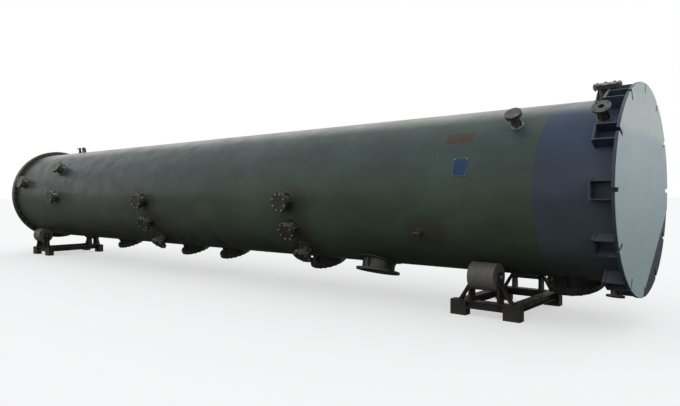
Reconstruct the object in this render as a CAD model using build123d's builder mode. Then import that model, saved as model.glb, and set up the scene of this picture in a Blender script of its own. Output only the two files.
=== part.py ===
from build123d import *
from math import asin, cos, pi, radians, sin, sqrt
import os

# A gas absorption tower lying on two roller stands, as it leaves the workshop.
# +X runs along the tower towards its base, -Y is the side with the sign plate, Z is up.
# The origin is on the floor, under the middle of the whole outline.

# Tower shell
shell_radius = 1000.0
shell_wall = 12.0
tower_length = 13742.0
base_course_length = 1750.0
course_count = 3
seat = 0.3

# Base ring, bottom and anchor chairs
base_ring_overhang = 145.0
base_ring_inset = 100.0
base_ring_thickness = 36.0
bottom_thickness = 20.0
face_sheet_thickness = 6.0
face_sheet_margin = 4.0
face_sheet_edge_angle = 307.0
face_sheet_edge_inset = 140.0
anchor_count = 12
anchor_slot_width = 44.0
anchor_slot_reach = 48.0
chair_length = 250.0
chair_inner_width = 166.0
chair_plate_thickness = 12.0
chair_top_thickness = 25.0
chair_top_overhang = 8.0
chair_rim_margin = 12.0
anchor_circle_reach = 76.0
anchor_hole_radius = 18.0

# Body flanges and dished head
body_flange_overhang = 89.0
body_flange_thickness = 63.0
gasket_thickness = 6.0
gasket_width = 60.0
head_skirt_length = 40.0
head_crown_radius = 2000.0
head_knuckle_radius = 200.0

# Gas outlet on the head
outlet_bore_radius = 245.0
outlet_neck_radius = 254.0
outlet_flange_radius = 335.0
outlet_flange_thickness = 28.0
outlet_reach = 190.0
outlet_bolt_circle = 620.0
outlet_bolt_count = 20
outlet_bolt_hole_radius = 13.0

# Nozzles on the shell: each one stands out by its projection
neck_wall = 8.0
neck_inside_reach = 25.0
pad_thickness = 10.0
gusset_thickness = 10.0
large_flange_radius = 307.5
large_neck_radius = 228.5
large_flange_thickness = 30.0
large_pad_radius = 300.0
large_projection = 150.0
manway_flange_radius = 307.5
manway_projection = 160.0
base_manway_flange_radius = 335.0
base_manway_neck_radius = 254.0
manway_cover_thickness = 28.0
inlet_bolt_circle = 565.0
inlet_bolt_count = 20
inlet_bolt_hole_radius = 13.0
small_flange_radius = 142.5
small_neck_radius = 84.0
small_flange_thickness = 22.0
small_pad_radius = 135.0
small_projection = 150.0
small_cover_thickness = 22.0
drain_flange_radius = 92.5
drain_neck_radius = 38.0
drain_flange_thickness = 20.0
drain_pad_radius = 70.0
drain_projection = 165.0
drain_bolt_circle = 145.0
drain_bolt_hole_radius = 9.0
gauge_flange_radius = 57.5
gauge_neck_radius = 17.0
gauge_neck_wall = 4.0
gauge_flange_thickness = 14.0
gauge_pad_radius = 40.0
gauge_projection = 115.0
gauge_bolt_circle = 85.0
gauge_bolt_hole_radius = 7.0
small_bolt_count = 4

# The nozzle that stands out farthest on the near side
widest_nozzle_angle = 97.0

# Roller stands
roller_height = 475.6896
base_stand_station = 1530.0
top_stand_from_top = 612.0
roller_radius = 163.0
roller_length = 320.0
roller_drum_wall = 18.0
roller_end_thickness = 20.0
roller_half_spacing = 620.0
axle_radius = 32.0
axle_clearance = 0.3
roller_end_gap = 6.0
bracket_thickness = 24.0
bracket_base_width = 150.0
bracket_boss_radius = 62.0
stay_reach = 150.0
stay_width = 42.0
stay_thickness = 60.0
axle_end_reach = 16.0
rail_height = 92.0
rail_width = 120.0
rail_web = 14.0
rail_flange = 14.0
foot_spacing = 660.0
foot_length = 200.0
foot_width = 120.0
foot_height = 180.0
foot_wall = 12.0
foot_plate = 14.0

# Derived places
shell_inner_radius = shell_radius - shell_wall
base_ring_radius = shell_radius + base_ring_overhang
base_ring_inner_radius = shell_radius - base_ring_inset
anchor_slot_end_radius = shell_radius + anchor_slot_reach
anchor_circle_radius = shell_radius + anchor_circle_reach
face_sheet_edge_distance = shell_radius - face_sheet_edge_inset
body_flange_radius = shell_radius + body_flange_overhang
roller_distance = shell_radius + seat + roller_radius
axis_height = roller_height + sqrt(roller_distance**2 - roller_half_spacing**2)
course_total = tower_length - base_ring_thickness - base_course_length
course_total = course_total - 2 * body_flange_thickness - gasket_thickness
course_length = course_total / course_count
crown_drop = sqrt(
    (head_crown_radius - head_knuckle_radius) ** 2
    - (shell_radius - head_knuckle_radius) ** 2
)
head_depth = head_crown_radius - crown_drop
outlet_face_station = tower_length + head_skirt_length + head_depth + outlet_reach
overall_length = outlet_face_station
base_x = overall_length / 2
near_reach = shell_radius + small_projection + small_cover_thickness + seat
near_side = near_reach * sin(radians(widest_nozzle_angle))
near_side = near_side - small_flange_radius * cos(radians(widest_nozzle_angle))
axis_y = (near_side - base_ring_radius) / 2
tower_axis = Axis((0, axis_y, axis_height), (1, 0, 0))


def cross_plane(station):
    """A plane across the tower, at a distance from the base, seen from the base end."""
    return Plane(origin=(base_x - station, axis_y, axis_height), x_dir=(0, 1, 0), z_dir=(1, 0, 0))


def radial_plane(station, angle, radius=0.0):
    """A plane whose normal points out of the shell, angle from straight up to the near side."""
    outward = (0, -sin(radians(angle)), cos(radians(angle)))
    middle = (base_x - station, axis_y + outward[1] * radius, axis_height + outward[2] * radius)
    return Plane(origin=middle, x_dir=(1, 0, 0), z_dir=outward)


profile_plane = Plane(origin=(0, axis_y, axis_height), x_dir=(1, 0, 0), z_dir=(0, -1, 0))

# Nozzle places: distance from the base and angle from the top towards the near side
upper_angle = 45.0
lower_near_angle = 165.0
manway_angle = -160.0
gauge_angle = 119.0
bed_angles = (widest_nozzle_angle, 119.0, 144.0)
vent_station = 300.0
vent_angle = 15.0
drain_station = 215.0
gusseted_station = 1115.0
gas_inlet_station = 3310.0
gauge_station = 2270.0
lower_bed_station = 4400.0
upper_bed_station = 8090.0
base_manway_station = 845.0
manway_stations = (4820.0, 7160.0, 8390.0, 10850.0)
spray_from_top = 2182.0
spray_angles = (58.0, 93.0)
liquid_inlet_from_top = 562.0
liquid_inlet_angle = 75.0
crown_from_top = 1542.0
crown_angle = 8.0

# Kinds of nozzle
large = dict(
    flange=large_flange_radius, neck=large_neck_radius, thick=large_flange_thickness,
    pad=large_pad_radius, out=large_projection, wall=neck_wall,
    circle=inlet_bolt_circle, count=inlet_bolt_count, hole=inlet_bolt_hole_radius,
)
manway = dict(large, flange=manway_flange_radius, out=manway_projection)
base_manway = dict(
    manway, flange=base_manway_flange_radius, neck=base_manway_neck_radius,
    pad=base_manway_flange_radius,
)
small = dict(
    flange=small_flange_radius, neck=small_neck_radius, thick=small_flange_thickness,
    pad=small_pad_radius, out=small_projection, wall=neck_wall,
)
drain = dict(
    flange=drain_flange_radius, neck=drain_neck_radius, thick=drain_flange_thickness,
    pad=drain_pad_radius, out=drain_projection, wall=neck_wall,
    circle=drain_bolt_circle, count=small_bolt_count, hole=drain_bolt_hole_radius,
)
gauge = dict(
    flange=gauge_flange_radius, neck=gauge_neck_radius, thick=gauge_flange_thickness,
    pad=gauge_pad_radius, out=gauge_projection, wall=gauge_neck_wall,
    circle=gauge_bolt_circle, count=small_bolt_count, hole=gauge_bolt_hole_radius,
)
# Each group of nozzles: name, kind, then the station and angle of each one
nozzle_groups = [
    ("liquid_drain_nozzle", drain, [(drain_station, upper_angle)]),
    ("vent_nozzle", small, [(vent_station, vent_angle)]),
    ("base_low_nozzle", drain, [(drain_station, lower_near_angle)]),
    ("gusseted_nozzle", drain, [(gusseted_station, upper_angle)]),
    ("level_nozzle", gauge, [(gauge_station, gauge_angle)]),
    ("gas_inlet_nozzle", large, [(gas_inlet_station, lower_near_angle)]),
    ("base_manway", base_manway, [(base_manway_station, manway_angle)]),
    ("bed_manways", manway, [(station, manway_angle) for station in manway_stations]),
    ("lower_bed_nozzles", small, [(lower_bed_station, angle) for angle in bed_angles]),
    ("upper_bed_nozzles", small, [(upper_bed_station, angle) for angle in bed_angles]),
    ("spray_nozzles", small, [(tower_length - spray_from_top, angle) for angle in spray_angles]),
    ("liquid_inlet_nozzle", small, [(tower_length - liquid_inlet_from_top, liquid_inlet_angle)]),
    ("crown_nozzle", gauge, [(tower_length - crown_from_top, crown_angle)]),
]
open_nozzles = (
    "liquid_drain_nozzle", "base_low_nozzle", "gas_inlet_nozzle", "level_nozzle", "crown_nozzle",
)
os.makedirs("parts", exist_ok=True)


def save(part, name):
    """Label a finished piece and write it out."""
    part.label = name
    export_step(part, f"parts/{name}.step")


def make_course(name, start, length):
    """One length of shell, with a hole for each nozzle that passes through it."""
    with BuildPart() as course:
        with BuildSketch(cross_plane(start + length)):
            Circle(shell_radius)
            Circle(shell_inner_radius, mode=Mode.SUBTRACT)
        extrude(amount=length)
        for _, kind, places in nozzle_groups:
            for station, angle in places:
                reach = kind["neck"] + seat
                if start - reach < station < start + length + reach:
                    with BuildSketch(radial_plane(station, angle)):
                        Circle(kind["neck"] + seat)
                    extrude(amount=shell_radius + pad_thickness, mode=Mode.SUBTRACT)
    save(course.part, name)


def make_saddle(station, angle, kind):
    """A pad that follows the shell, and four gussets that stand on it."""
    gusset_reach = kind["pad"] - gusset_thickness
    gusset_height = shell_radius + kind["out"] - kind["thick"]
    gusset_root = sqrt(shell_radius**2 - kind["pad"] ** 2)
    middle = radial_plane(station, angle)
    along = Plane(origin=middle.origin, x_dir=middle.x_dir, z_dir=middle.y_dir)
    across = Plane(origin=middle.origin, x_dir=middle.y_dir, z_dir=middle.x_dir)
    with BuildPart() as saddle:
        with BuildSketch(middle):
            Circle(kind["pad"])
        extrude(amount=shell_radius + pad_thickness + seat)
        with BuildSketch(cross_plane(station + kind["pad"])):
            Circle(shell_radius + seat + pad_thickness)
        extrude(amount=2 * kind["pad"], mode=Mode.INTERSECT)
        for plane, outward, surface in ((along, -1, shell_radius), (across, 1, gusset_root)):
            toe = outward * (surface + 2 * pad_thickness)
            with BuildSketch(plane):
                with BuildLine():
                    Polyline(
                        (-gusset_reach, outward * gusset_root),
                        (gusset_reach, outward * gusset_root),
                        (gusset_reach, toe),
                        (kind["neck"] + gusset_thickness, outward * gusset_height),
                        (-kind["neck"] - gusset_thickness, outward * gusset_height),
                        (-gusset_reach, toe),
                        close=True,
                    )
                make_face()
            extrude(amount=gusset_thickness / 2, both=True)
        with BuildSketch(cross_plane(station + kind["pad"])):
            Circle(shell_radius + seat)
        extrude(amount=2 * kind["pad"], mode=Mode.SUBTRACT)
    return saddle.part


def make_nozzles(name, kind, places):
    """Nozzles of one group: saddle, neck set through the shell, flange and bore."""
    neck_start = shell_inner_radius - neck_inside_reach
    face_radius = shell_radius + kind["out"]
    saddles = [make_saddle(station, angle, kind) for station, angle in places]
    with BuildPart() as group:
        for saddle in saddles:
            add(saddle)
        for station, angle in places:
            with BuildSketch(radial_plane(station, angle, neck_start)):
                Circle(kind["neck"])
            extrude(amount=face_radius - neck_start)
            with BuildSketch(radial_plane(station, angle, face_radius - kind["thick"])):
                Circle(kind["flange"])
            extrude(amount=kind["thick"])
            with BuildSketch(radial_plane(station, angle, neck_start)):
                Circle(kind["neck"] - kind["wall"])
            extrude(amount=face_radius - neck_start, mode=Mode.SUBTRACT)
            if name in open_nozzles:
                first_hole = 180 / kind["count"]
                with BuildSketch(radial_plane(station, angle, face_radius - kind["thick"])):
                    with PolarLocations(kind["circle"] / 2, kind["count"], first_hole):
                        Circle(kind["hole"])
                extrude(amount=kind["thick"], mode=Mode.SUBTRACT)
    save(group.part, name)


def make_covers(name, names, thickness):
    """The blind covers of the named nozzles, each seated on its flange."""
    with BuildPart() as covers:
        for group_name, kind, places in nozzle_groups:
            if group_name in names:
                cover_start = shell_radius + kind["out"] + seat
                for station, angle in places:
                    with BuildSketch(radial_plane(station, angle, cover_start)):
                        Circle(kind["flange"])
                    extrude(amount=thickness)
    save(covers.part, name)


# Base ring with its open anchor slots
slot_angles = [360 / anchor_count * index for index in range(anchor_count)]
slot_length = base_ring_radius - anchor_slot_end_radius + anchor_slot_width
with BuildPart() as base_ring:
    with BuildSketch(cross_plane(base_ring_thickness)):
        Circle(base_ring_radius)
        Circle(base_ring_inner_radius, mode=Mode.SUBTRACT)
        with PolarLocations(anchor_slot_end_radius + slot_length / 2, anchor_count):
            Rectangle(slot_length, anchor_slot_width, mode=Mode.SUBTRACT)
        with PolarLocations(anchor_slot_end_radius, anchor_count):
            Circle(anchor_slot_width / 2, mode=Mode.SUBTRACT)
    extrude(amount=base_ring_thickness - face_sheet_thickness)
save(base_ring.part, "base_ring")

# Pale sheet over the base, trimmed short at its lower far side
with BuildPart() as face_sheet:
    with BuildSketch(cross_plane(face_sheet_thickness)):
        Circle(base_ring_radius - face_sheet_margin)
        with PolarLocations(anchor_slot_end_radius + slot_length / 2, anchor_count):
            Rectangle(slot_length, anchor_slot_width, mode=Mode.SUBTRACT)
        with PolarLocations(anchor_slot_end_radius, anchor_count):
            Circle(anchor_slot_width / 2, mode=Mode.SUBTRACT)
        with PolarLocations(
            face_sheet_edge_distance + base_ring_radius, 1, start_angle=face_sheet_edge_angle
        ):
            Rectangle(2 * base_ring_radius, 2 * base_ring_radius, mode=Mode.SUBTRACT)
    extrude(amount=face_sheet_thickness)
save(face_sheet.part, "base_face_sheet")

# Flat bottom inside the base ring
with BuildPart() as bottom:
    with BuildSketch(cross_plane(face_sheet_thickness + bottom_thickness)):
        Circle(base_ring_inner_radius - seat)
    extrude(amount=bottom_thickness)
save(bottom.part, "bottom_plate")

# Anchor chairs: two side plates and a drilled top plate each
chair_side_length = chair_length - chair_top_thickness - base_ring_thickness
chair_outer_radius = base_ring_radius - chair_rim_margin
chair_depth = chair_outer_radius - shell_inner_radius
with BuildPart() as chairs:
    with BuildSketch(cross_plane(base_ring_thickness + chair_side_length)):
        for angle in slot_angles:
            with Locations(Location((0, 0, 0), (0, 0, angle))):
                with Locations((chair_outer_radius - chair_depth / 2, 0)):
                    with GridLocations(0, chair_inner_width + chair_plate_thickness, 1, 2):
                        Rectangle(chair_depth, chair_plate_thickness)
    extrude(amount=chair_side_length)
    with BuildSketch(cross_plane(chair_length)):
        with PolarLocations(chair_outer_radius - chair_depth / 2, anchor_count):
            Rectangle(
                chair_depth,
                chair_inner_width + 2 * chair_plate_thickness + 2 * chair_top_overhang,
            )
        with PolarLocations(anchor_circle_radius, anchor_count):
            Circle(anchor_hole_radius, mode=Mode.SUBTRACT)
    extrude(amount=chair_top_thickness)
    with BuildSketch(cross_plane(chair_length)):
        Circle(shell_radius + seat)
    extrude(amount=chair_length, mode=Mode.SUBTRACT)
save(chairs.part, "anchor_chairs")

# Shell courses
make_course("base_course", base_ring_thickness, base_course_length)
for index in range(course_count):
    start = base_ring_thickness + base_course_length + index * course_length
    make_course(f"shell_course_{index + 1}", start, course_length)

# Nozzles and their covers
for name, kind, places in nozzle_groups:
    make_nozzles(name, kind, places)
manway_names = ("base_manway", "bed_manways")
bed_names = ("lower_bed_nozzles", "upper_bed_nozzles")
upper_names = ("spray_nozzles", "liquid_inlet_nozzle", "vent_nozzle")
make_covers("manway_covers", manway_names, manway_cover_thickness)
make_covers("bed_nozzle_covers", bed_names, small_cover_thickness)
make_covers("upper_nozzle_covers", upper_names, small_cover_thickness)
make_covers("gusseted_nozzle_cover", ("gusseted_nozzle",), drain_flange_thickness)

# Body flanges, gasket and head
flange_start = tower_length - 2 * body_flange_thickness - gasket_thickness
with BuildPart() as top_flange:
    with BuildSketch(cross_plane(flange_start + body_flange_thickness)):
        Circle(body_flange_radius)
        Circle(shell_inner_radius, mode=Mode.SUBTRACT)
    extrude(amount=body_flange_thickness)
save(top_flange.part, "top_body_flange")

with BuildPart() as gasket:
    with BuildSketch(cross_plane(tower_length - body_flange_thickness)):
        Circle(shell_inner_radius + gasket_width)
        Circle(shell_inner_radius, mode=Mode.SUBTRACT)
    extrude(amount=gasket_thickness)
save(gasket.part, "body_gasket")

with BuildPart() as head_flange:
    with BuildSketch(cross_plane(tower_length)):
        Circle(body_flange_radius)
        Circle(shell_inner_radius, mode=Mode.SUBTRACT)
    extrude(amount=body_flange_thickness)
save(head_flange.part, "head_flange")


def head_outline(radius, crown, knuckle):
    """Half the section of a dished head, from its centre line to the end of its skirt."""
    head_end = base_x - tower_length
    crown_top = head_end - head_skirt_length - head_depth + (head_crown_radius - crown)
    knuckle_x = head_end - head_skirt_length
    turn = asin((radius - knuckle) / (crown - knuckle))
    meet = (crown_top + crown - crown * cos(turn), crown * sin(turn))
    middle = (crown_top + crown - crown * cos(turn / 2), crown * sin(turn / 2))
    bend = (pi / 2 + turn) / 2
    bend_point = (knuckle_x - knuckle * cos(bend), radius - knuckle + knuckle * sin(bend))
    return (crown_top, middle, meet, bend_point, (knuckle_x, radius), (head_end, radius))


outer = head_outline(shell_radius, head_crown_radius, head_knuckle_radius)
inner = head_outline(
    shell_inner_radius, head_crown_radius - shell_wall, head_knuckle_radius - shell_wall
)
with BuildPart() as head:
    with BuildSketch(profile_plane):
        with BuildLine():
            ThreePointArc((outer[0], 0), outer[1], outer[2])
            ThreePointArc(outer[2], outer[3], outer[4])
            Line(outer[4], outer[5])
            Line(outer[5], inner[5])
            Line(inner[5], inner[4])
            ThreePointArc(inner[4], inner[3], inner[2])
            ThreePointArc(inner[2], inner[1], (inner[0], 0))
            Line((inner[0], 0), (outer[0], 0))
        make_face()
    revolve(axis=tower_axis)
    with BuildSketch(cross_plane(outlet_face_station)):
        Circle(outlet_neck_radius + seat)
    extrude(amount=outlet_reach + head_depth, mode=Mode.SUBTRACT)
save(head.part, "dished_head")

with BuildPart() as outlet:
    with BuildSketch(cross_plane(outlet_face_station)):
        Circle(outlet_neck_radius)
    extrude(amount=outlet_reach + shell_wall + neck_inside_reach)
    with BuildSketch(cross_plane(outlet_face_station)):
        Circle(outlet_flange_radius)
    extrude(amount=outlet_flange_thickness)
    with BuildSketch(cross_plane(outlet_face_station)):
        Circle(outlet_bore_radius)
    extrude(amount=outlet_reach + head_depth, mode=Mode.SUBTRACT)
    with BuildSketch(cross_plane(outlet_face_station)):
        with PolarLocations(outlet_bolt_circle / 2, outlet_bolt_count):
            Circle(outlet_bolt_hole_radius)
    extrude(amount=outlet_flange_thickness, mode=Mode.SUBTRACT)
save(outlet.part, "gas_outlet_nozzle")

# Roller stands
rail_middle = foot_height - rail_height / 2
stay_top = roller_height - bracket_boss_radius
bracket_offset = roller_length / 2 + roller_end_gap
axle_length = 2 * (bracket_offset + bracket_thickness + axle_end_reach)


def rail_profile(width, height):
    """An I section, standing on its lower flange."""
    Rectangle(width, height)
    with GridLocations((width + rail_web) / 2, 0, 2, 1):
        Rectangle((width - rail_web) / 2, height - 2 * rail_flange, mode=Mode.SUBTRACT)


def make_stand(name, station):
    """One roller stand: feet, side rails, cross beams, brackets, axles and rollers."""
    middle_x = base_x - station
    rail_length = foot_spacing - foot_length - 2 * seat
    with BuildPart() as feet:
        with BuildSketch(Plane.XY):
            with Locations((middle_x, axis_y)):
                with GridLocations(foot_spacing, 2 * roller_half_spacing, 2, 2):
                    Rectangle(foot_length, foot_width)
                    Rectangle(
                        foot_length - 2 * foot_wall, foot_width - 2 * foot_wall, mode=Mode.SUBTRACT
                    )
        extrude(amount=foot_height - foot_plate)
        for plate_base in (0, foot_height - foot_plate):
            with BuildSketch(Plane.XY.offset(plate_base)):
                with Locations((middle_x, axis_y)):
                    with GridLocations(foot_spacing, 2 * roller_half_spacing, 2, 2):
                        Rectangle(foot_length, foot_width)
            extrude(amount=foot_plate)
    save(feet.part, f"{name}_feet")

    rail_start = Plane(
        origin=(middle_x - rail_length / 2, axis_y, rail_middle),
        x_dir=(0, 1, 0), z_dir=(1, 0, 0),
    )
    with BuildPart() as rails:
        for side in (-1, 1):
            with BuildSketch(rail_start):
                with Locations((side * roller_half_spacing, 0)):
                    rail_profile(rail_width, rail_height)
            extrude(amount=rail_length)
    save(rails.part, f"{name}_side_rails")

    beam_length = 2 * roller_half_spacing - foot_width - 2 * seat
    beam_start = Plane(
        origin=(middle_x, axis_y + beam_length / 2, rail_middle),
        x_dir=(1, 0, 0), z_dir=(0, -1, 0),
    )
    with BuildPart() as beams:
        for side in (-1, 1):
            with BuildSketch(beam_start):
                with Locations((side * foot_spacing / 2, 0)):
                    rail_profile(rail_width, rail_height)
            extrude(amount=beam_length)
    save(beams.part, f"{name}_cross_beams")

    with BuildPart() as brackets:
        for side in (-1, 1):
            for end in (-1, 1):
                inner_face = middle_x + end * bracket_offset
                face = Plane(
                    origin=(inner_face, axis_y + side * roller_half_spacing, 0),
                    x_dir=(0, 1, 0), z_dir=(1, 0, 0),
                )
                with BuildSketch(face):
                    with BuildLine():
                        Polyline(
                            (-bracket_base_width / 2, foot_height),
                            (bracket_base_width / 2, foot_height),
                            (bracket_boss_radius, roller_height),
                            (-bracket_boss_radius, roller_height),
                            close=True,
                        )
                    make_face()
                    with Locations((0, roller_height)):
                        Circle(bracket_boss_radius)
                        Circle(axle_radius + axle_clearance, mode=Mode.SUBTRACT)
                extrude(amount=end * bracket_thickness)
                stay_plane = Plane(
                    origin=(inner_face + end * bracket_thickness, face.origin.Y, 0),
                    x_dir=(end, 0, 0), z_dir=(0, -end, 0),
                )
                with BuildSketch(stay_plane):
                    with BuildLine():
                        Polyline(
                            (0, stay_top - stay_width),
                            (0, stay_top),
                            (stay_reach, foot_height),
                            (stay_reach - stay_width, foot_height),
                            close=True,
                        )
                    make_face()
                extrude(amount=stay_thickness / 2, both=True)
    save(brackets.part, f"{name}_brackets")

    with BuildPart() as axles:
        with BuildSketch(
            Plane(origin=(middle_x - axle_length / 2, axis_y, 0), x_dir=(0, 1, 0), z_dir=(1, 0, 0))
        ):
            with Locations(
                (-roller_half_spacing, roller_height), (roller_half_spacing, roller_height)
            ):
                Circle(axle_radius)
        extrude(amount=axle_length)
    save(axles.part, f"{name}_axles")

    for side, side_name in ((-1, "near"), (1, "far")):
        centre = (middle_x, axis_y + side * roller_half_spacing, roller_height)
        section = Plane(origin=centre, x_dir=(1, 0, 0), z_dir=(0, -1, 0))
        drum_inner = roller_radius - roller_drum_wall
        with BuildPart() as roller:
            with BuildSketch(section):
                with Locations((0, roller_radius / 2)):
                    Rectangle(roller_length, roller_radius)
                with Locations((0, drum_inner / 2)):
                    Rectangle(
                        roller_length - 2 * roller_end_thickness, drum_inner, mode=Mode.SUBTRACT
                    )
                with Locations((0, (axle_radius + axle_clearance) / 2)):
                    Rectangle(roller_length, axle_radius + axle_clearance, mode=Mode.SUBTRACT)
            revolve(axis=Axis(centre, (1, 0, 0)))
        save(roller.part, f"{name}_{side_name}_roller")


make_stand("base_stand", base_stand_station)
make_stand("top_stand", tower_length - top_stand_from_top)
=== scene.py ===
import math
import random
from collections import namedtuple

import bmesh
import bpy
from mathutils import Matrix, Vector


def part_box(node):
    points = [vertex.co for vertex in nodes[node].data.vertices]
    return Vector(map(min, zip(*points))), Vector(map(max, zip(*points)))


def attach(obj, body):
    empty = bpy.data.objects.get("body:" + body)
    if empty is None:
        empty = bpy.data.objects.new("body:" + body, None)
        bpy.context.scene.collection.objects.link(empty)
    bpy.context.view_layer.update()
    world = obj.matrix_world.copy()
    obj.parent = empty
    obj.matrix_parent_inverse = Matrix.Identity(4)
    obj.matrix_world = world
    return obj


# A gas absorption tower on roller stands. Metres; +X runs to the tower's base, -Y is the near side.
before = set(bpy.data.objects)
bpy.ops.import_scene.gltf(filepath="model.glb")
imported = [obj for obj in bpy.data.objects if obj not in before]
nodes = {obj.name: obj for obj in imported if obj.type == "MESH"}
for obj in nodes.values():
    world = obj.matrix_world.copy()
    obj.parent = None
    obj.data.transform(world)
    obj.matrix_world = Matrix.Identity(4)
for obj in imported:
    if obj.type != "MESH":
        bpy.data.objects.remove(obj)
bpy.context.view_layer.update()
random.seed(7)

# Sizes read from the frame
shell_low, shell_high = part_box("shell_course_1")
SHELL_RADIUS = (shell_high.z - shell_low.z) / 2
AXIS_Z = (shell_high.z + shell_low.z) / 2
AXIS_Y = (shell_high.y + shell_low.y) / 2
BASE_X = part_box("base_face_sheet")[1].x
flange_low, flange_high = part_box("head_flange")
TOP_X = flange_low.x
FLANGE_RADIUS = (flange_high.z - flange_low.z) / 2
BACK_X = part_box("top_body_flange")[1].x
COURSES = ("base_course", "shell_course_1", "shell_course_2")
SEAM_STATIONS = [BASE_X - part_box(name)[0].x for name in COURSES]
RING_BACK = BASE_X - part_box("base_ring")[0].x
FLANGE_START = BASE_X - BACK_X

# Places on the tower: metres from the base, and degrees from the crown towards the near side
BED_STATIONS = (4.40, 8.09)
BED_ANGLES = (97, 119, 144)
BED_PLACES = [(station, angle) for station in BED_STATIONS for angle in BED_ANGLES]
LEVEL_PLACE = (2.27, 119)
VENT_PLACE = (0.300, 15)
DRAIN_PLACE = (0.215, 45)
LOW_PLACE = (0.215, 165)
GUSSETED_PLACE = (1.115, 45)
INLET_PLACE = (13.180, 75)
SPRAY_PLACES = ((11.560, 58), (11.560, 93))
CROWN_PLACE = (12.20, 8)
GAS_INLET_PLACE = (3.31, 165)
BASE_MANWAY_PLACE = (0.845, -160)
BED_MANWAY_PLACES = [(station, -160) for station in (4.820, 7.160, 8.390, 10.850)]

# Camera, as the photographer stood: its place beside the tower's axis, and its turn
CAMERA_FROM_BASE = 1.474
CAMERA_ASIDE = 6.854
CAMERA_BELOW = 0.044
CAMERA_YAW = 39.82
CAMERA_PITCH = -0.75
CAMERA_ROLL = -0.18
CAMERA_LENS = 30.78
SENSOR_WIDTH = 36


def around(station, angle, radius):
    """The point at a distance from the base, at an angle from the crown towards the near side."""
    a = math.radians(angle)
    return Vector((BASE_X - station, AXIS_Y - radius * math.sin(a), AXIS_Z + radius * math.cos(a)))


def outward(angle):
    """The direction out of the shell at an angle from the crown."""
    a = math.radians(angle)
    return Vector((0, -math.sin(a), math.cos(a)))


def local_frame(station, angle, radius):
    """A place on the tower: local x runs to the base, local z runs out of the shell."""
    z = outward(angle)
    x = Vector((1, 0, 0))
    y = z.cross(x)
    turn = Matrix((x, y, z)).transposed().to_4x4()
    return Matrix.Translation(around(station, angle, radius)) @ turn


# Camera
camera_data = bpy.data.cameras.new("camera")
camera_data.lens = CAMERA_LENS
camera_data.sensor_width = SENSOR_WIDTH
camera = bpy.data.objects.new("camera", camera_data)
bpy.context.scene.collection.objects.link(camera)
yaw = Matrix.Rotation(math.radians(CAMERA_YAW), 4, "Z")
pitch = Matrix.Rotation(math.radians(90 + CAMERA_PITCH), 4, "X")
roll = Matrix.Rotation(math.radians(CAMERA_ROLL), 4, "Z")
beside = Vector((CAMERA_FROM_BASE, -CAMERA_ASIDE, -CAMERA_BELOW))
camera.location = Vector((BASE_X, AXIS_Y, AXIS_Z)) + beside
camera.rotation_euler = (yaw @ pitch @ roll).to_euler()
bpy.context.scene.camera = camera


NOISE_SPREAD = (0.3, 0.7)


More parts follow.
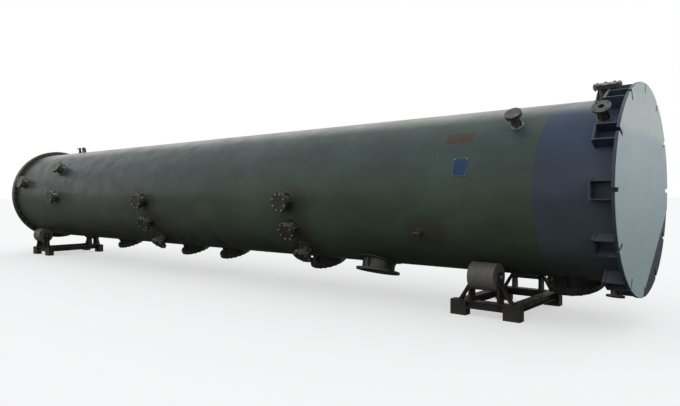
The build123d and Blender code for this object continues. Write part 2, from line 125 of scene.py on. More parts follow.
class Paint:
    """A node material that is built up step by step."""

    def __init__(self, name, roughness=0.45, metallic=0.0, specular=0.5):
        self.material = bpy.data.materials.new(name)
        self.material.use_nodes = True
        self.tree = self.material.node_tree
        self.shader = self.tree.nodes["Principled BSDF"]
        self.shader.inputs["Roughness"].default_value = roughness
        self.shader.inputs["Metallic"].default_value = metallic
        self.shader.inputs["Specular IOR Level"].default_value = specular
        self.place = self.add("ShaderNodeTexCoord").outputs["Object"]
        split = self.add("ShaderNodeSeparateXYZ")
        self.join(self.place, split.inputs[0])
        self.x, self.y, self.z = split.outputs

    def add(self, kind, **settings):
        made = self.tree.nodes.new(kind)
        for key, value in settings.items():
            setattr(made, key, value)
        return made

    def join(self, value, socket):
        if isinstance(value, bpy.types.NodeSocket):
            self.tree.links.new(value, socket)
        else:
            socket.default_value = value

    def math(self, operation, *values):
        made = self.add("ShaderNodeMath", operation=operation)
        for value, socket in zip(values, made.inputs):
            self.join(value, socket)
        return made.outputs[0]

    def step(self, value, low, high, to_low=0.0, to_high=1.0):
        """A smooth change from one value to another between two limits."""
        made = self.add("ShaderNodeMapRange", interpolation_type="SMOOTHSTEP")
        for item, socket in zip((value, low, high, to_low, to_high), made.inputs):
            self.join(item, socket)
        return made.outputs[0]

    def band(self, value, low, high, soft):
        """One inside a band of a value, nought outside, with soft edges."""
        rise = self.step(value, low - soft, low + soft)
        fall = self.step(value, high - soft, high + soft, 1.0, 0.0)
        return self.math("MULTIPLY", rise, fall)

    def noise(self, scale, detail=4.0, rough=0.55, stretch=None):
        """A noise over the object's own metres, stretched along its axes if asked."""
        made = self.add("ShaderNodeTexNoise")
        source = self.place
        if stretch is not None:
            mapping = self.add("ShaderNodeMapping")
            mapping.inputs["Scale"].default_value = stretch
            self.join(source, mapping.inputs["Vector"])
            source = mapping.outputs[0]
        self.join(source, made.inputs["Vector"])
        made.inputs["Scale"].default_value = scale
        made.inputs["Detail"].default_value = detail
        made.inputs["Roughness"].default_value = rough
        return made.outputs["Fac"]

    def cloud(self, scale, detail, low=0.0, high=1.0):
        """A soft noise between two values."""
        return self.step(self.noise(scale, detail), *NOISE_SPREAD, low, high)

    def mix(self, factor, first, second, blend="MIX"):
        """One colour over another by a factor."""
        made = self.add("ShaderNodeMix", data_type="RGBA", blend_type=blend)
        sockets = (made.inputs[0], made.inputs[6], made.inputs[7])
        for value, socket in zip((factor, first, second), sockets):
            if isinstance(value, tuple) and len(value) == 3:
                value = (*value, 1.0)
            self.join(value, socket)
        return made.outputs[2]

    def speckle(self, colour, scale, low, high, amount, detail=3.0, stretch=None):
        """The colour made darker or lighter by a noise."""
        fac = self.step(self.noise(scale, detail, 0.6, stretch), *NOISE_SPREAD, low, high)
        grey = self.add("ShaderNodeCombineColor")
        for socket in grey.inputs:
            self.join(fac, socket)
        return self.mix(amount, colour, grey.outputs[0], "MULTIPLY")

    def facing_up(self, low, high):
        """How far the surface looks upwards."""
        split = self.add("ShaderNodeSeparateXYZ")
        self.join(self.add("ShaderNodeNewGeometry").outputs["Normal"], split.inputs[0])
        return self.step(split.outputs[2], low, high)

    def bump(self, *layers):
        """Bumps from (height, distance in metres) pairs, one on top of the other."""
        normal = None
        for height, distance in layers:
            made = self.add("ShaderNodeBump")
            made.inputs["Distance"].default_value = distance
            self.join(height, made.inputs["Height"])
            if normal is not None:
                self.join(normal, made.inputs["Normal"])
            normal = made.outputs[0]
        self.join(normal, self.shader.inputs["Normal"])

    def finish(self, colour, roughness=None):
        self.join(colour, self.shader.inputs["Base Color"])
        if roughness is not None:
            self.join(roughness, self.shader.inputs["Roughness"])
        return self.material


def tower_places(paint):
    """Distance from the base, and the angle in degrees from the crown to the near side."""
    station = paint.math("SUBTRACT", BASE_X, paint.x)
    aside = paint.math("SUBTRACT", AXIS_Y, paint.y)
    up = paint.math("SUBTRACT", paint.z, AXIS_Z)
    angle = paint.math("ARCTAN2", aside, up)
    angle = paint.math("MULTIPLY", angle, 180 / math.pi)
    return station, angle


# Colours, as linear values
GREEN_NEAR = (0.054, 0.082, 0.074)
GREEN_FAR = (0.050, 0.069, 0.067)
# Lower-side greens, lighter and warmer than the upper ones: painted light from below
GREEN_NEAR_LOW_PAINTED_LIGHT = (0.070, 0.102, 0.068)
GREEN_FAR_LOW_PAINTED_LIGHT = (0.100, 0.119, 0.096)
TOP_END_GREY = (0.098, 0.098, 0.086)
BLUE_HIGH = (0.038, 0.058, 0.112)
BLUE_MIDDLE = (0.058, 0.076, 0.104)
BLUE_LOW_PAINTED_LIGHT = (0.088, 0.112, 0.130)
HALO_BROWN = (0.070, 0.064, 0.050)
PATCH_BROWN = (0.066, 0.046, 0.024)
PALE_DUST_AND_HIGHLIGHT = (0.52, 0.52, 0.48)
UNDERSIDE_PAINTED_SHADE = (0.036, 0.037, 0.028)
RUST = (0.075, 0.038, 0.018)
FITTING_DUST_AND_HIGHLIGHT = (0.52, 0.53, 0.50)
SHEET_LOW_PAINTED_SHADE = (0.375, 0.480, 0.500)
SHEET_MIDDLE = (0.520, 0.625, 0.690)
SHEET_HIGH_STRIP_AND_REFLECTION = (0.660, 0.745, 0.740)
STAND_BLACK = (0.011, 0.008, 0.008)
STAND_BROWN = (0.020, 0.016, 0.015)
STAND_RUST = (0.055, 0.028, 0.016)
STAND_CHIP = (0.10, 0.088, 0.078)
STAND_MUD = (0.07, 0.06, 0.05)
STAND_DUST = (0.065, 0.058, 0.054)
ROLLER_DARK = (0.118, 0.107, 0.092)
ROLLER_LIGHT = (0.145, 0.134, 0.118)
METAL_RUST = (0.11, 0.055, 0.025)
GASKET_BLACK = (0.012, 0.012, 0.012)
GASKET_DUST = (0.040, 0.039, 0.036)
CHAIR_BLUE = (0.036, 0.050, 0.078)
NOZZLE_GREY = (0.046, 0.048, 0.040)
PALE_NOZZLE_GREY = (0.085, 0.088, 0.080)
FLANGE_GREY = (0.038, 0.038, 0.034)
WELD_GREY = (0.052, 0.066, 0.058)

# Places of the paint: metres from the base, and degrees from the crown
BLUE_EDGE = 0.770
BLUE_EDGE_BEND = 0.055
HALO_SHIFT = 0.08
HALO_LENGTH = 0.27
HALO_DEGREES = 12.0
PATCH_STATIONS = (1.60, 1.94)
PATCH_ANGLES = (47.5, 56.5)


def shell_paint():
    """Grey-green paint of the shell, blue-grey next to the base."""
    p = Paint("shell_paint", specular=0.22)
    station, angle = tower_places(p)
    away = p.step(station, 1.0, 12.5)
    upper = p.mix(away, GREEN_NEAR, GREEN_FAR)
    # Towards the underside the green turns lighter and warmer: painted light, over the cooler painted sky
    # tint on top
    lower = p.mix(away, GREEN_NEAR_LOW_PAINTED_LIGHT, GREEN_FAR_LOW_PAINTED_LIGHT)
    colour = p.mix(p.step(angle, 62.0, 108.0), upper, lower)
    colour = p.mix(p.step(station, 11.0, 13.6, 0.0, 0.6), colour, TOP_END_GREY)
    # Soft brown halos round the small nozzles
    for place, turn in (*BED_PLACES, LEVEL_PLACE):
        along = p.math("DIVIDE", p.math("SUBTRACT", station, place - HALO_SHIFT), HALO_LENGTH)
        across = p.math("DIVIDE", p.math("SUBTRACT", angle, turn), HALO_DEGREES)
        reach = p.math("ADD", p.math("MULTIPLY", along, along), p.math("MULTIPLY", across, across))
        colour = p.mix(p.step(reach, 0.25, 1.9, 0.75, 0.0), colour, HALO_BROWN)
    # Faded orange-brown patch
    ragged = p.math("MULTIPLY_ADD", p.noise(9.0, 3.0), 0.03, -0.015)
    shifted = p.math("ADD", station, ragged)
    turned = p.math("MULTIPLY_ADD", ragged, 40.0, angle)
    patch = p.math(
        "MULTIPLY", p.band(shifted, *PATCH_STATIONS, 0.012), p.band(turned, *PATCH_ANGLES, 0.8)
    )
    fade = p.step(p.noise(14.0, 4.0), 0.25, 0.75, 0.65, 1.0)
    colour = p.mix(p.math("MULTIPLY", patch, fade), colour, PATCH_BROWN)
    # Blue-grey paint next to the base
    edge = p.math("MULTIPLY_ADD", p.step(angle, 20.0, 75.0), BLUE_EDGE_BEND, BLUE_EDGE)
    edge = p.math("MULTIPLY_ADD", p.noise(2.0, 2.0), 0.02, edge)
    blue = p.math("LESS_THAN", station, edge)
    # The blue-grey turns greyer and lighter towards the underside: painted light from below, with a bluer
    # painted sky tint on top
    blue_colour = p.mix(p.step(angle, 45.0, 95.0), BLUE_HIGH, BLUE_MIDDLE)
    blue_colour = p.mix(p.step(angle, 90.0, 130.0), blue_colour, BLUE_LOW_PAINTED_LIGHT)
    colour = p.mix(blue, colour, blue_colour)
    # Wear and painted light: long streaks, cloudiness, pale dust on the crown that also paints the crown's
    # highlight, and painted shade towards the bottom
    colour = p.speckle(colour, 0.9, 0.80, 1.12, 0.8, 3.0)
    colour = p.speckle(colour, 3.2, 0.86, 1.10, 0.7, 5.0, (0.35, 1.0, 1.0))
    colour = p.speckle(colour, 6.0, 0.86, 1.06, 0.28, 6.0, (2.6, 0.25, 0.25))
    colour = p.speckle(colour, 70.0, 0.90, 1.08, 0.5, 2.0)
    # Pale on the upward faces of the crown: partly dust, partly a painted highlight
    cloudy = p.step(p.noise(1.6, 6.0), 0.3, 0.8, 0.42, 0.78)
    dust_and_highlight = p.math("MULTIPLY", p.facing_up(0.78, 0.96), cloudy)
    colour = p.mix(dust_and_highlight, colour, PALE_DUST_AND_HIGHLIGHT)
    # Patchy darkening towards the bottom of the shell: painted shade on the underside
    patchy = p.cloud(2.4, 5.0, 0.4, 0.8)
    underside_shade = p.math("MULTIPLY", p.step(angle, 112.0, 150.0), patchy)
    colour = p.mix(underside_shade, colour, UNDERSIDE_PAINTED_SHADE)
    rough = p.cloud(4.5, 4.0, 0.30, 0.46)
    p.bump((p.noise(1.1, 2.0), 0.010), (p.noise(160.0, 2.0), 0.0006))
    return p.finish(colour, rough)


def fitting_paint(name, base, pale, rust):
    """Paint of the nozzles and plates, with dust on top and a little rust; a large pale share also paints a
    highlight on upward faces.
    """
    p = Paint(name)
    colour = p.speckle((*base, 1.0), 5.0, 0.78, 1.16, 0.8, 5.0)
    colour = p.speckle(colour, 60.0, 0.85, 1.10, 0.6, 2.0)
    stain = p.step(p.noise(11.0, 7.0, 0.7), 0.56, 0.74, 0.0, rust)
    colour = p.mix(stain, colour, RUST)
    # Pale on upward faces: dust, and with a large pale share a painted highlight
    top = p.math("MULTIPLY", p.facing_up(0.35, 0.95), p.cloud(8.0, 4.0, 0.5, 1.0))
    colour = p.mix(p.math("MULTIPLY", top, 0.12 + pale), colour, FITTING_DUST_AND_HIGHLIGHT)
    rough = p.cloud(20.0, 3.0, 0.34, 0.54)
    p.bump((p.noise(120.0, 2.0), 0.0008), (p.noise(9.0, 3.0), 0.002))
    return p.finish(colour, rough)


def sheet_film():
    """Pale blue-grey protective sheet over the base."""
    p = Paint("face_sheet", specular=0.3)
    height = p.math("SUBTRACT", p.z, AXIS_Z)
    # Darker towards the bottom and lighter towards the top: painted sky reflection and shade; the top band
    # also marks a strip of the sheet
    colour = p.mix(p.step(height, -1.0, 0.7), SHEET_LOW_PAINTED_SHADE, SHEET_MIDDLE)
    colour = p.mix(p.step(height, 0.52, 0.66), colour, SHEET_HIGH_STRIP_AND_REFLECTION)
    colour = p.speckle(colour, 0.8, 0.95, 1.04, 0.7, 2.0)
    colour = p.speckle(colour, 26.0, 0.97, 1.02, 0.6, 4.0)
    creases = p.noise(3.2, 2.0, 0.5, (1.0, 1.0, 0.35))
    p.bump((p.noise(0.9, 1.0), 0.012), (creases, 0.0012))
    return p.finish(colour, p.cloud(5.0, 4.0, 0.42, 0.58))


def stand_paint():
    """Black-brown stand paint, chipped, rusty and dusty."""
    p = Paint("stand_paint")
    colour = p.mix(p.cloud(4.0, 4.0), STAND_BLACK, STAND_BROWN)
    stain = p.step(p.noise(9.0, 8.0, 0.72), 0.5, 0.72)
    colour = p.mix(p.math("MULTIPLY", stain, 0.4), colour, STAND_RUST)
    chips = p.step(p.noise(38.0, 6.0, 0.75), 0.63, 0.68)
    colour = p.mix(p.math("MULTIPLY", chips, 0.4), colour, STAND_CHIP)
    low = p.step(p.z, 0.0, 0.14, 0.5, 0.0)
    colour = p.mix(p.math("MULTIPLY", low, p.noise(16.0, 5.0)), colour, STAND_MUD)
    top = p.math("MULTIPLY", p.facing_up(0.7, 1.0), p.cloud(7.0, 5.0, 0.1, 0.4))
    colour = p.mix(top, colour, STAND_DUST)
    p.bump((p.noise(55.0, 6.0, 0.7), 0.002), (stain, 0.0006))
    return p.finish(colour, p.cloud(12.0, 4.0, 0.5, 0.78))


def roller_facing():
    """Worn grey-brown roller facing with rubbed rings."""
    p = Paint("roller_facing")
    rings = p.noise(1.0, 3.0, 0.5, (30.0, 0.6, 0.6))
    colour = p.mix(p.step(rings, 0.2, 0.8), ROLLER_DARK, ROLLER_LIGHT)
    colour = p.speckle(colour, 24.0, 0.82, 1.10, 0.7, 6.0)
    p.bump((rings, 0.0004), (p.noise(90.0, 4.0), 0.0006))
    return p.finish(colour, p.cloud(14.0, 3.0, 0.5, 0.72))


def metal(name, light, dark, roughness, metallic, rust):
    """Bare or plated steel with dull spots."""
    p = Paint(name, metallic=metallic)
    colour = p.mix(p.cloud(30.0, 5.0), dark, light)
    stain = p.step(p.noise(55.0, 5.0, 0.7), 0.55, 0.7, 0.0, rust)
    colour = p.mix(stain, colour, METAL_RUST)
    p.bump((p.noise(140.0, 3.0), 0.0005),)
    return p.finish(colour, p.cloud(40.0, 3.0, roughness - 0.08, roughness + 0.15))


def rubber(name):
    """Black gasket sheet, a little dusty."""
    p = Paint(name, roughness=0.7)
    colour = p.mix(p.step(p.noise(22.0, 5.0), 0.35, 0.75), GASKET_BLACK, GASKET_DUST)
    p.bump((p.noise(85.0, 4.0), 0.0006),)
    return p.finish(colour)


def plate_enamel(name, base, edge):
    """Enamel of the sign plate, faded towards its rim."""
    p = Paint(name, specular=0.25)
    colour = p.mix(p.step(p.noise(9.0, 4.0), 0.35, 0.75, 0.0, 0.6), base, edge)
    colour = p.speckle(colour, 70.0, 0.88, 1.08, 0.6, 3.0)
    p.bump((p.noise(60.0, 2.0), 0.0005),)
    return p.finish(colour, p.cloud(18.0, 3.0, 0.24, 0.42))


shell_material = shell_paint()
chair_material = fitting_paint("base_paint", CHAIR_BLUE, pale=0.0, rust=0.12)
nozzle_material = fitting_paint("nozzle_paint", NOZZLE_GREY, pale=0.05, rust=0.45)
# Pale nozzles: lighter grey paint with a strong painted highlight on upward faces
pale_material = fitting_paint("pale_nozzle_paint", PALE_NOZZLE_GREY, pale=0.60, rust=0.35)
flange_material = fitting_paint("dark_flange", FLANGE_GREY, pale=0.04, rust=0.4)
sheet_material = sheet_film()
stand_material = stand_paint()
roller_material = roller_facing()
axle_material = metal("turned_steel", (0.36, 0.35, 0.33), (0.20, 0.19, 0.18), 0.38, 0.85, 0.5)
bolt_material = metal("zinc_bolts", (0.42, 0.42, 0.38), (0.20, 0.19, 0.17), 0.45, 0.5, 0.65)
dull_bolt_material = metal("dull_bolts", (0.10, 0.098, 0.088), (0.045, 0.043, 0.038), 0.5, 0.4, 0.6)
gasket_material = rubber("gasket_rubber")
weld_material = fitting_paint("weld_paint", WELD_GREY, pale=0.0, rust=0.3)
plate_material = plate_enamel("plate_blue", (0.013, 0.045, 0.128), (0.022, 0.058, 0.135))
plate_rim_material = plate_enamel("plate_rim", (0.10, 0.15, 0.19), (0.06, 0.10, 0.14))

PALE_NODES = ("spray_nozzles", "liquid_inlet_nozzle", "gusseted_nozzle")
CHAIR_NODES = ("anchor_chairs", "base_ring", "bottom_plate")


def material_of(name):
    """The material of a CAD node, by its name."""
    if name == "base_face_sheet":
        return sheet_material
    if name in CHAIR_NODES:
        return chair_material
    if name == "base_course" or name.startswith("shell_course") or name == "dished_head":
        return shell_material
    if name == "body_gasket":
        return gasket_material
    if name.endswith("_roller"):
        return roller_material
    if name.endswith("_axles"):
        return axle_material
    if "stand" in name:
        return stand_material
    if name in PALE_NODES:
        return pale_material
    if "cover" in name or "flange" in name:
        return flange_material
    return nozzle_material


BEVELS = {
    "feet": 0.006, "side_rails": 0.003, "cross_beams": 0.003, "brackets": 0.004, "roller": 0.008,
    "axles": 0.002, "base_ring": 0.003, "anchor_chairs": 0.002, "covers": 0.003, "cover": 0.003,
    "flange": 0.004, "sheet": 0.0015,
}
BEVEL_SEGMENTS = 2
BEVEL_ANGLE = 50
for name, node in nodes.items():
    node.data.materials.clear()
    node.data.materials.append(material_of(name))
    for ending, width in BEVELS.items():
        if name.endswith(ending):
            bevel = node.modifiers.new("edge", "BEVEL")
            bevel.width = width
            bevel.segments = BEVEL_SEGMENTS
            bevel.limit_method = "ANGLE"
            bevel.angle_limit = math.radians(BEVEL_ANGLE)
            bevel.harden_normals = True
            break


def new_piece(name, builder, material, smooth):
    """A piece built in mesh code that rides on the tower, smooth up to an angle in degrees."""
    mesh = bpy.data.meshes.new(name)
    shape = bmesh.new()
    builder(shape)
    bmesh.ops.recalc_face_normals(shape, faces=shape.faces)
    shape.to_mesh(mesh)
    shape.free()
    piece = bpy.data.objects.new(name, mesh)
    bpy.context.scene.collection.objects.link(piece)
    mesh.materials.append(material)
    for polygon in mesh.polygons:
        polygon.use_smooth = True
    mesh.set_sharp_from_angle(angle=math.radians(smooth))
    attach(piece, "tower")


def circle(shape, place, radius, height, sides, turn=0.0):
    """A ring of points about local z."""
    ring = []
    for index in range(sides):
        a = 2 * math.pi * index / sides + turn
        point = Vector((radius * math.cos(a), radius * math.sin(a), height))
        ring.append(shape.verts.new(place @ point))
    return ring


def join_rings(shape, rings):
    """Faces between each closed ring of points and the next."""
    for lower, upper in zip(rings, rings[1:]):
        for index in range(len(lower)):
            after = (index + 1) % len(lower)
            shape.faces.new((lower[index], lower[after], upper[after], upper[index]))


def close_ends(shape, rings):
    """Flat faces over the first and the last ring."""
    shape.faces.new(rings[0][::-1])
    shape.faces.new(rings[-1])


def lathe(shape, place, outline, sides, turn=0.0):
    """A closed body of revolution about local z, from (radius, height) pairs."""
    rings = [circle(shape, place, radius, height, sides, turn) for radius, height in outline]
    join_rings(shape, rings)
    close_ends(shape, rings)


# Outlines of a bolt's parts: radius and height as shares of the width across flats, of the head's
# corner and height, and of the stud's radius and reach
WASHER_OUTLINE = ((0.66, 0.0), (0.66, 0.06), (0.627, 0.09))
WASHER_SIDES = 16
HEAD_OUTLINE = ((1.0, 0.0), (1.0, 0.82), (0.88, 1.0), (0.55, 1.02))
THREAD_OUTLINE = ((1.0, 0.1), (0.9, 0.5))
THREAD_TURNS = 4
TIP_OUTLINE = ((1.0, 0.95), (0.8, 1.0))
STUD_SIDES = 10
# Parts of a cover's bolt, as shares of its width across flats
HEAD_HEIGHT = 0.40
NUT_HEIGHT = 0.6
NUT_TURN = 0.3
STUD_RADIUS = 0.33
STUD_BASE = 0.7
STUD_REACH = (0.2, 0.4)


def hex_head(shape, place, across, height, turn):
    """A hexagon head or nut on a washer, with its corners cut."""
    corner = across / math.sqrt(3)
    base = across * WASHER_OUTLINE[-1][1]
    washer = [(across * radius, across * up) for radius, up in WASHER_OUTLINE]
    lathe(shape, place, washer, WASHER_SIDES)
    lathe(shape, place, [(corner * radius, base + height * up) for radius, up in HEAD_OUTLINE], 6, turn)


def stud_end(shape, place, across, base, reach):
    """The threaded end of a bolt that stands out of its nut."""
    shares = [(1.0, 0.0)]
    for index in range(THREAD_TURNS):
        shares += [(radius, (index + up) / THREAD_TURNS) for radius, up in THREAD_OUTLINE]
    shares += TIP_OUTLINE
    outline = [(across * STUD_RADIUS * radius, base + reach * up) for radius, up in shares]
    lathe(shape, place, outline, STUD_SIDES)


# Kinds of blind cover; the face is measured from the tower's axis
Cover = namedtuple("Cover", "face radius flange_thickness cover_thickness count bolt_circle across")
BASE_MANWAY = Cover(1.160, 0.335, 0.030, 0.028, 20, 0.303, 0.030)
BED_MANWAY = Cover(1.160, 0.3075, 0.030, 0.028, 20, 0.2760, 0.030)
NOZZLE = Cover(1.150, 0.1425, 0.022, 0.022, 8, 0.120, 0.024)
SMALL_NOZZLE = Cover(1.165, 0.0925, 0.020, 0.020, 4, 0.0725, 0.022)
BLINDS = [
    ("base_manway", BASE_MANWAY_PLACE, BASE_MANWAY),
    ("vent", VENT_PLACE, NOZZLE),
    ("gusseted", GUSSETED_PLACE, SMALL_NOZZLE),
    ("liquid_inlet", INLET_PLACE, NOZZLE),
    ("spray_high", SPRAY_PLACES[0], NOZZLE),
    ("spray_low", SPRAY_PLACES[1], NOZZLE),
]
BLINDS += [(f"bed_manway_{n}", place, BED_MANWAY) for n, place in enumerate(BED_MANWAY_PLACES, 1)]
BLINDS += [(f"bed_{int(place[0])}_{place[1]}", place, NOZZLE) for place in BED_PLACES]
SEAT = 0.0003
DULL_BOLT_COUNT = 20
GASKET_SIDES = 48
GASKET_OUTLINE = ((0.0006, 0.0), (0.0014, 0.0008), (0.0014, 0.0025), (0.0006, 0.0033))
GASKET_START = 0.0015


def cover_bolts(shape, place, kind):
    """Bolts round a blind cover: heads outside, nuts and bolt ends behind the flange."""
    across = kind.across
    outer = kind.face + SEAT + kind.cover_thickness
    inner = kind.face - kind.flange_thickness
    for index in range(kind.count):
        a = 2 * math.pi * (index + 0.5) / kind.count
        shift = Matrix.Translation((kind.bolt_circle * math.cos(a), kind.bolt_circle * math.sin(a), 0))
        turn = random.uniform(0, math.pi / 3)
        out_place = local_frame(*place, outer) @ shift
        hex_head(shape, out_place, across, across * HEAD_HEIGHT, turn)
        in_place = local_frame(*place, inner) @ shift @ Matrix.Rotation(math.pi, 4, "X")
        hex_head(shape, in_place, across, across * NUT_HEIGHT, turn + NUT_TURN)
        reach = across * random.uniform(*STUD_REACH)
        stud_end(shape, in_place, across, across * STUD_BASE, reach)


def gasket_edge(shape, place, kind):
    """The edge of the gasket between a blind cover and its flange."""
    turned = local_frame(*place, kind.face - GASKET_START)
    rings = []
    for out, height in GASKET_OUTLINE:
        rings.append(circle(shape, turned, kind.radius + out, height, GASKET_SIDES))
    join_rings(shape, rings + rings[:1])


for label, place, kind in BLINDS:
    paint = bolt_material if kind.count < DULL_BOLT_COUNT else dull_bolt_material
    new_piece(f"{label}_bolts", lambda shape: cover_bolts(shape, place, kind), paint, smooth=35)
for label, place, kind in BLINDS:
    new_piece(
        f"{label}_gasket_edge", lambda shape: gasket_edge(shape, place, kind), gasket_material,
        smooth=60,
    )

# Studs of the body flanges, with a nut at each end
BODY_STUDS = 40
STUD_CIRCLE = (SHELL_RADIUS + FLANGE_RADIUS) / 2 + 0.004
BODY_STUD_ACROSS = 0.041
BODY_NUT_HEIGHT = 0.026
BODY_STUD_BASE = 0.029
BODY_STUD_REACH = (0.010, 0.018)


def body_studs(shape):
    """A nut and a stud end on each outer face of the flange pair."""
    for index in range(BODY_STUDS):
        a = 2 * math.pi * (index + 0.5) / BODY_STUDS
        y = AXIS_Y + STUD_CIRCLE * math.cos(a)
        z = AXIS_Z + STUD_CIRCLE * math.sin(a)
        for x, side in ((TOP_X, -1), (BACK_X, 1)):
            place = Matrix.Translation((x, y, z)) @ Matrix.Rotation(side * math.pi / 2, 4, "Y")
            hex_head(shape, place, BODY_STUD_ACROSS, BODY_NUT_HEIGHT, random.uniform(0, 1))
            stud_end(shape, place, BODY_STUD_ACROSS, BODY_STUD_BASE, random.uniform(*BODY_STUD_REACH))


new_piece("body_flange_studs", body_studs, dull_bolt_material, smooth=35)


# Welds, as beads along paths that follow the shell
BEAD_UNEVEN = (0.88, 1.12)
FLAT_BEAD = 0.22
GIRTH_BEAD = 0.0075
SEAM_BEAD = 0.007
FLANGE_BEAD = 0.008
NECK_BEAD = 0.006
SMALL_NECK_BEAD = 0.0045
SMALL_NECK = 0.1
WELD_LIFT = 0.002
WELD_SHIFT = 0.004
HEAD_WELD_SHIFT = 0.003
HEAD_WELD_LIFT = 0.004
NECK_POINTS = 72
SMALL_NECK_POINTS = 36
SEAM_ANGLES = (-58, 152, -40, 170)
SEAM_POINTS = 120
RING_POINTS = 260


def bead(shape, points, outs, radius, flat=0.75, sides=6, closed=True):
    """A lumpy weld bead along points, each with its direction out of the surface."""
    rings = []
    count = len(points)
    for index, point in enumerate(points):
        before = points[index - 1] if closed or index else point
        after = points[(index + 1) % count] if closed or index < count - 1 else point
        along = (after - before).normalized()
        out = outs[index]
        side = along.cross(out).normalized()
        out = side.cross(along).normalized()
        size = radius * random.uniform(*BEAD_UNEVEN)
        ring = []
        for corner in range(sides):
            a = 2 * math.pi * corner / sides
            shift = side * size * math.cos(a) + out * size * flat * math.sin(a)
            ring.append(shape.verts.new(point + shift))
        rings.append(ring)
    if closed:
        join_rings(shape, rings + rings[:1])
    else:
        join_rings(shape, rings)
        close_ends(shape, rings)


def ring_path(station, radius):
    """A line round the tower."""
    angles = [360 * index / RING_POINTS for index in range(RING_POINTS)]
    return [around(station, angle, radius) for angle in angles], [outward(angle) for angle in angles]


def neck_path(station, angle, reach, lift, count):
    """The line where a round neck or pad of a given radius meets the shell."""
    place = local_frame(station, angle, 0.0)
    surface = SHELL_RADIUS + lift
    points, outs = [], []
    for index in range(count):
        a = 2 * math.pi * index / count
        along, across = reach * math.cos(a), reach * math.sin(a)
        height = math.sqrt(surface**2 - across**2)
        point = place @ Vector((along, across, height))
        points.append(point)
        outs.append((point - Vector((point.x, AXIS_Y, AXIS_Z))).normalized())
    return points, outs


def girth_welds(shape):
    """Beads between the lengths of shell, at the base ring and the flange, and along each length."""
    for station in SEAM_STATIONS:
        bead(shape, *ring_path(station, SHELL_RADIUS), GIRTH_BEAD, FLAT_BEAD)
    bead(shape, *ring_path(RING_BACK + WELD_SHIFT, SHELL_RADIUS + WELD_LIFT), FLANGE_BEAD)
    bead(shape, *ring_path(FLANGE_START - WELD_SHIFT, SHELL_RADIUS + WELD_LIFT), FLANGE_BEAD)
    starts = [RING_BACK] + SEAM_STATIONS
    ends = SEAM_STATIONS + [FLANGE_START]
    for start, end, angle in zip(starts, ends, SEAM_ANGLES):
        points, outs = [], []
        for index in range(SEAM_POINTS):
            station = start + (end - start) * (index + 0.5) / SEAM_POINTS
            points.append(around(station, angle, SHELL_RADIUS))
            outs.append(outward(angle))
        bead(shape, points, outs, SEAM_BEAD, FLAT_BEAD, closed=False)


new_piece("girth_welds", girth_welds, shell_material, smooth=50)

# Radii of the necks and pads that are welded round, and the pads' thickness
GAUGE_WELD = 0.040
SMALL_WELD = 0.070
NOZZLE_WELD = 0.135
PAD_WELD = 0.300
PAD_NECK_WELD = 0.2285
BASE_PAD_WELD = 0.335
BASE_NECK_WELD = 0.254
PAD_THICKNESS = 0.010
NECKS = [
    (DRAIN_PLACE, SMALL_WELD, 0.0), (VENT_PLACE, NOZZLE_WELD, 0.0), (LOW_PLACE, SMALL_WELD, 0.0),
    (GUSSETED_PLACE, SMALL_WELD, 0.0), (LEVEL_PLACE, GAUGE_WELD, 0.0), (INLET_PLACE, NOZZLE_WELD, 0.0),
    (SPRAY_PLACES[0], NOZZLE_WELD, 0.0), (SPRAY_PLACES[1], NOZZLE_WELD, 0.0),
    (CROWN_PLACE, GAUGE_WELD, 0.0),
    (GAS_INLET_PLACE, PAD_WELD, 0.0), (GAS_INLET_PLACE, PAD_NECK_WELD, PAD_THICKNESS),
    (BASE_MANWAY_PLACE, BASE_PAD_WELD, 0.0), (BASE_MANWAY_PLACE, BASE_NECK_WELD, PAD_THICKNESS),
]
NECKS += [(place, NOZZLE_WELD, 0.0) for place in BED_PLACES]
NECKS += [(place, PAD_WELD, 0.0) for place in BED_MANWAY_PLACES]
NECKS += [(place, PAD_NECK_WELD, PAD_THICKNESS) for place in BED_MANWAY_PLACES]


def neck_welds(shape):
    """A bead round each neck and pad."""
    for place, reach, lift in NECKS:
        small = reach <= SMALL_NECK
        count = SMALL_NECK_POINTS if small else NECK_POINTS
        points, outs = neck_path(*place, reach + WELD_LIFT, lift + WELD_LIFT, count)
        bead(shape, points, outs, SMALL_NECK_BEAD if small else NECK_BEAD)


new_piece("neck_welds", neck_welds, weld_material, smooth=50)

# Lifting lug on the crown: a drilled plate along the tower
LUG_STATION = 12.0
LUG_ANGLE = 8
LUG_HALF_WIDTH = 0.072
LUG_HEIGHT = 0.122
LUG_HOLE = 0.034
LUG_HALF_THICKNESS = 0.015
LUG_BEVEL = 0.003
LUG_POINTS = 28
LUG_CENTRE = SHELL_RADIUS + LUG_HEIGHT - LUG_HALF_WIDTH
LUG_SUNK = 0.004


def lug_outline():
    """Points of the lug's edge and of its hole, paired by number."""
    edge, hole = [], []
    for index in range(LUG_POINTS):
        a = 2 * math.pi * index / LUG_POINTS
        along, out = math.cos(a), math.sin(a)
        if out < 0:
            stretch = min(1 / max(abs(along), 1e-6), 1 / max(abs(out), 1e-6))
            edge_out = out * stretch * (LUG_CENTRE - SHELL_RADIUS + LUG_SUNK)
            edge.append((along * stretch * LUG_HALF_WIDTH, LUG_CENTRE + edge_out))
        else:
            edge.append((along * LUG_HALF_WIDTH, LUG_CENTRE + out * LUG_HALF_WIDTH))
        hole.append((along * LUG_HOLE, LUG_CENTRE + out * LUG_HOLE))
    return edge, hole


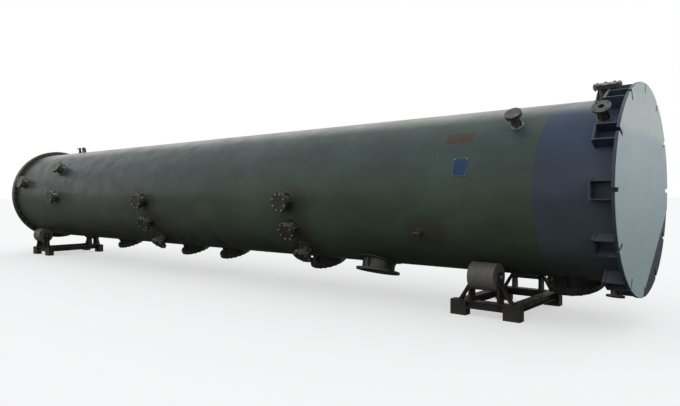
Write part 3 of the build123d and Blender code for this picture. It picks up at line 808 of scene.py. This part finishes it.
def lifting_lug(shape):
    """The lug as six loops of points: hole, bevelled edge, and the same on the other side."""
    place = local_frame(LUG_STATION, LUG_ANGLE, 0.0)
    edge, hole = lug_outline()
    face = LUG_HALF_THICKNESS
    rim = LUG_HALF_THICKNESS - LUG_BEVEL
    loops = []
    for outline, depth, inset in (
        (hole, -face, 0.0), (edge, -face, LUG_BEVEL), (edge, -rim, 0.0),
        (edge, rim, 0.0), (edge, face, LUG_BEVEL), (hole, face, 0.0),
    ):
        share = 1 - inset / LUG_HALF_WIDTH
        loop = []
        for along, out in outline:
            point = Vector((along * share, depth, LUG_CENTRE + (out - LUG_CENTRE) * share))
            loop.append(shape.verts.new(place @ point))
        loops.append(loop)
    join_rings(shape, loops + loops[:1])


new_piece("lifting_lug", lifting_lug, nozzle_material, smooth=35)


def head_weld(shape):
    """A bead between the dished head and its flange."""
    bead(shape, *ring_path(BASE_X - TOP_X + HEAD_WELD_SHIFT, SHELL_RADIUS + HEAD_WELD_LIFT), FLANGE_BEAD)


new_piece("head_weld", head_weld, shell_material, smooth=50)

# Sign plate, left bare: a thin rim, a raised field and four rivets
PLATE_STATIONS = (1.588, 1.772)
PLATE_ANGLES = (68.0, 80.5)
PLATE_BACK = SHELL_RADIUS + 0.004
PLATE_THICKNESS = 0.002
FIELD_BACK = PLATE_BACK + 0.0021
FIELD_THICKNESS = 0.0009
PLATE_RIM = 0.009
PLATE_STEPS = 16
RIVET_INSET = 0.018
RIVET_INSET_DEGREES = 1.1
RIVET_SIDES = 14


def panel_edge(rows):
    """The points round the edge of a grid of rows."""
    return rows[0] + [row[-1] for row in rows[1:-1]] + rows[-1][::-1] + [row[0] for row in rows[1:-1]][::-1]


def curved_panel(shape, low, high, inset=0.0):
    """A thin panel in the plate's place that follows the shell."""
    inset_angle = math.degrees(inset / SHELL_RADIUS)
    start, end = PLATE_STATIONS[0] + inset, PLATE_STATIONS[1] - inset
    first_angle = PLATE_ANGLES[0] + inset_angle
    spread = PLATE_ANGLES[1] - PLATE_ANGLES[0] - 2 * inset_angle
    grid = []
    for radius in (low, high):
        rows = []
        for station in (start, (start + end) / 2, end):
            angles = [first_angle + spread * index / PLATE_STEPS for index in range(PLATE_STEPS + 1)]
            rows.append([shape.verts.new(around(station, angle, radius)) for angle in angles])
        grid.append(rows)
    for rows in grid:
        for first, second in zip(rows, rows[1:]):
            for index in range(PLATE_STEPS):
                shape.faces.new((first[index], first[index + 1], second[index + 1], second[index]))
    join_rings(shape, [panel_edge(rows) for rows in grid])


def plate_rim(shape):
    curved_panel(shape, PLATE_BACK, PLATE_BACK + PLATE_THICKNESS)


def plate_field(shape):
    curved_panel(shape, FIELD_BACK, FIELD_BACK + FIELD_THICKNESS, PLATE_RIM)


def plate_rivets(shape):
    """Four rivets through the plate's rim into the shell."""
    front = PLATE_BACK - SHELL_RADIUS + 0.003
    outline = (
        (0.004, 0.0), (0.004, front), (0.007, front), (0.006, front + 0.0025), (0.003, front + 0.0038),
    )
    for station in (PLATE_STATIONS[0] + RIVET_INSET, PLATE_STATIONS[1] - RIVET_INSET):
        for angle in (PLATE_ANGLES[0] + RIVET_INSET_DEGREES, PLATE_ANGLES[1] - RIVET_INSET_DEGREES):
            lathe(shape, local_frame(station, angle, SHELL_RADIUS), outline, RIVET_SIDES)


new_piece("sign_plate_rim", plate_rim, plate_rim_material, smooth=30)
new_piece("sign_plate_field", plate_field, plate_material, smooth=30)
new_piece("sign_plate_rivets", plate_rivets, bolt_material, smooth=35)

# Floor: pale to the camera, darker to the light that bounces from it
FLOOR_REACH = 400.0
FLOOR_CELLS = 8
FLOOR_GLOW = 0.55
FLOOR_SHADES = ((0.115, 0.110, 0.100), (0.135, 0.130, 0.118))
FLOOR_SEEN = 0.98
floor_mesh = bpy.data.meshes.new("floor")
floor_shape = bmesh.new()
bmesh.ops.create_grid(floor_shape, x_segments=FLOOR_CELLS, y_segments=FLOOR_CELLS, size=FLOOR_REACH)
floor_shape.to_mesh(floor_mesh)
floor_shape.free()
floor = bpy.data.objects.new("floor", floor_mesh)
bpy.context.scene.collection.objects.link(floor)
floor_paint = Paint("floor_paint", roughness=0.9, specular=0.0)
camera_ray = floor_paint.add("ShaderNodeLightPath").outputs["Is Camera Ray"]
floor_tone = floor_paint.mix(floor_paint.noise(0.4, 3.0), *FLOOR_SHADES)
floor_paint.join((1.0, 1.0, 1.0, 1.0), floor_paint.shader.inputs["Emission Color"])
glow = floor_paint.math("MULTIPLY", camera_ray, FLOOR_GLOW)
floor_paint.join(glow, floor_paint.shader.inputs["Emission Strength"])
pale = (FLOOR_SEEN * (1 - FLOOR_GLOW),) * 3
floor_mesh.materials.append(floor_paint.finish(floor_paint.mix(camera_ray, floor_tone, pale)))

# World: a plain pale sky, white to the camera and in mirrors
HORIZON = (1.0, 1.0, 0.97, 1)
ZENITH = (0.80, 0.84, 0.87, 1)
world = bpy.data.worlds.new("world")
bpy.context.scene.world = world
world.use_nodes = True
tree = world.node_tree
sky = tree.nodes["Background"]
coordinates = tree.nodes.new("ShaderNodeTexCoord")
split = tree.nodes.new("ShaderNodeSeparateXYZ")
tree.links.new(coordinates.outputs["Generated"], split.inputs[0])
ramp = tree.nodes.new("ShaderNodeValToRGB")
ramp.color_ramp.elements[0].position = 0.0
ramp.color_ramp.elements[0].color = HORIZON
ramp.color_ramp.elements[1].position = 1.0
ramp.color_ramp.elements[1].color = ZENITH
tree.links.new(split.outputs[2], ramp.inputs[0])
tree.links.new(ramp.outputs[0], sky.inputs["Color"])
sky.inputs["Strength"].default_value = 1.0
white = tree.nodes.new("ShaderNodeBackground")
white.inputs["Color"].default_value = (1, 1, 1, 1)
white.inputs["Strength"].default_value = 1.0
path = tree.nodes.new("ShaderNodeLightPath")
seen = tree.nodes.new("ShaderNodeMath")
seen.operation = "MAXIMUM"
tree.links.new(path.outputs["Is Camera Ray"], seen.inputs[0])
tree.links.new(path.outputs["Is Glossy Ray"], seen.inputs[1])
chosen = tree.nodes.new("ShaderNodeMixShader")
tree.links.new(seen.outputs[0], chosen.inputs[0])
tree.links.new(sky.outputs[0], chosen.inputs[1])
tree.links.new(white.outputs[0], chosen.inputs[2])
tree.links.new(chosen.outputs[0], tree.nodes["World Output"].inputs["Surface"])

bpy.context.scene.view_settings.view_transform = "Standard"
